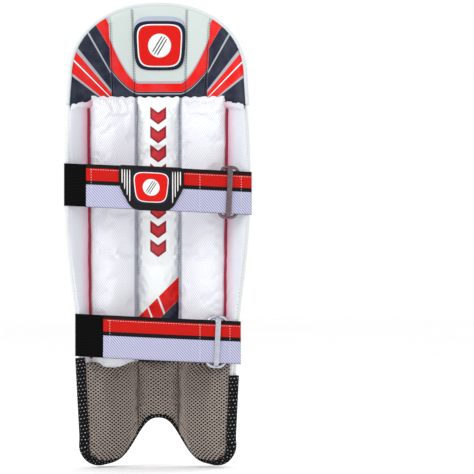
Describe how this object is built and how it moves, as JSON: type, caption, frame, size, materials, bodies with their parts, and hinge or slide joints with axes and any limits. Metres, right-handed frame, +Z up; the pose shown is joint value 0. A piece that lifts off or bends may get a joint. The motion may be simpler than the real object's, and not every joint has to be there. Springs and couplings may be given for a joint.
{
  "type": "cricket leg pad",
  "caption": "Padded shin and knee guard, keeper's style, with a folding knee flap, stuffed bolsters behind and webbing straps with slide buckles.",
  "frame": {"origin": "where the wearer's shin bears on the middle bolster, half way up the pad", "axes": "+Z up the leg, +Y out through the playing face, +X to the right seen from the strap side"},
  "size_m": [0.2704, 0.1333, 0.6659],
  "materials": {
    "face_leather": "satin",
    "wing_leather": "satin",
    "label_leather": "satin",
    "core_foam": "matte",
    "stiffening_board": "matte",
    "lining_fabric": "matte",
    "printed_lining": "satin",
    "airtex_fabric": "matte",
    "open_mesh": "matte",
    "piping_red": "matte",
    "binding_black": "matte",
    "binding_white": "satin",
    "badge_red": "satin",
    "elastic_black": "matte",
    "strap_webbing": "matte",
    "badge_rubber": "satin",
    "buckle_steel": "polished",
    "hook_tape": "matte"
  },
  "bodies": {
    "pad": {"shin_roll_left_cover": "face_leather", "shin_roll_left_core": "core_foam", "shin_roll_inner_left_cover": "face_leather", "shin_roll_inner_left_core": "core_foam", "shin_roll_inner_right_cover": "face_leather", "shin_roll_inner_right_core": "core_foam", "shin_roll_right_cover": "face_leather", "shin_roll_right_core": "core_foam", "knee_segment_1": "face_leather", "knee_segment_2": "face_leather", "knee_segment_3": "face_leather", "knee_segment_4": "face_leather", "instep_face": "face_leather", "wing_foam_left": "core_foam", "wing_face_left": "wing_leather", "wing_foam_right": "core_foam", "wing_face_right": "wing_leather", "wing_lining_left": "lining_fabric", "wing_lining_right": "lining_fabric", "backing_board": "stiffening_board", "wing_label": "label_leather", "bolster_left": "airtex_fabric", "bolster_centre": "printed_lining", "bolster_right": "airtex_fabric", "instep_bolster_left": "open_mesh", "instep_bolster_centre": "open_mesh", "instep_bolster_right": "open_mesh", "piping_left": "piping_red", "piping_right": "piping_red", "lower_binding": "binding_black", "upper_hook_patch": "hook_tape", "lower_hook_patch": "hook_tape"},
    "knee_flap": {"flap_binding": "binding_white", "flap_face_wing_left": "wing_leather", "flap_face_roll_left": "face_leather", "flap_face_centre": "face_leather", "flap_face_roll_right": "face_leather", "flap_face_wing_right": "wing_leather", "flap_lining_wing_left": "printed_lining", "flap_lining_stripe_left": "printed_lining", "flap_lining_centre": "printed_lining", "flap_lining_stripe_right": "printed_lining", "flap_lining_wing_right": "printed_lining", "flap_foam": "core_foam", "flap_face_badge": "badge_red", "flap_lining_badge": "badge_red"},
    "upper_strap": {"upper_strap_elastic": "elastic_black", "upper_strap_webbing": "strap_webbing", "upper_strap_badge": "badge_rubber"},
    "upper_buckle": {"upper_strap_buckle": "buckle_steel"},
    "lower_strap": {"lower_strap_elastic": "elastic_black", "lower_strap_webbing": "strap_webbing"},
    "lower_buckle": {"lower_strap_buckle": "buckle_steel"}
  },
  "joints": [
    {"name": "knee_fold", "type": "hinge", "parent": "pad", "child": "knee_flap", "pos_m": [0, 0.018, 0.196], "axis": [1, 0, 0], "range_deg": [-8, 15], "stiffness_Nm_per_rad": 3},
    {"name": "upper_strap_swing", "type": "hinge", "parent": "pad", "child": "upper_strap", "pos_m": [-0.13101, -0.05321, 0.0635], "axis": [0, 0, -1], "range_deg": [0, 110]},
    {"name": "upper_buckle_slide", "type": "slide", "parent": "upper_strap", "child": "upper_buckle", "axis": [0.9852, 0.1649, -0.0463], "range_m": [-0.02, 0.003]},
    {"name": "lower_strap_swing", "type": "hinge", "parent": "pad", "child": "lower_strap", "pos_m": [-0.11559, -0.04472, -0.1495], "axis": [0, 0, -1], "range_deg": [0, 110]},
    {"name": "lower_buckle_slide", "type": "slide", "parent": "lower_strap", "child": "lower_buckle", "axis": [0.9886, 0.143, -0.0465], "range_m": [-0.02, 0.006]}
  ]
}
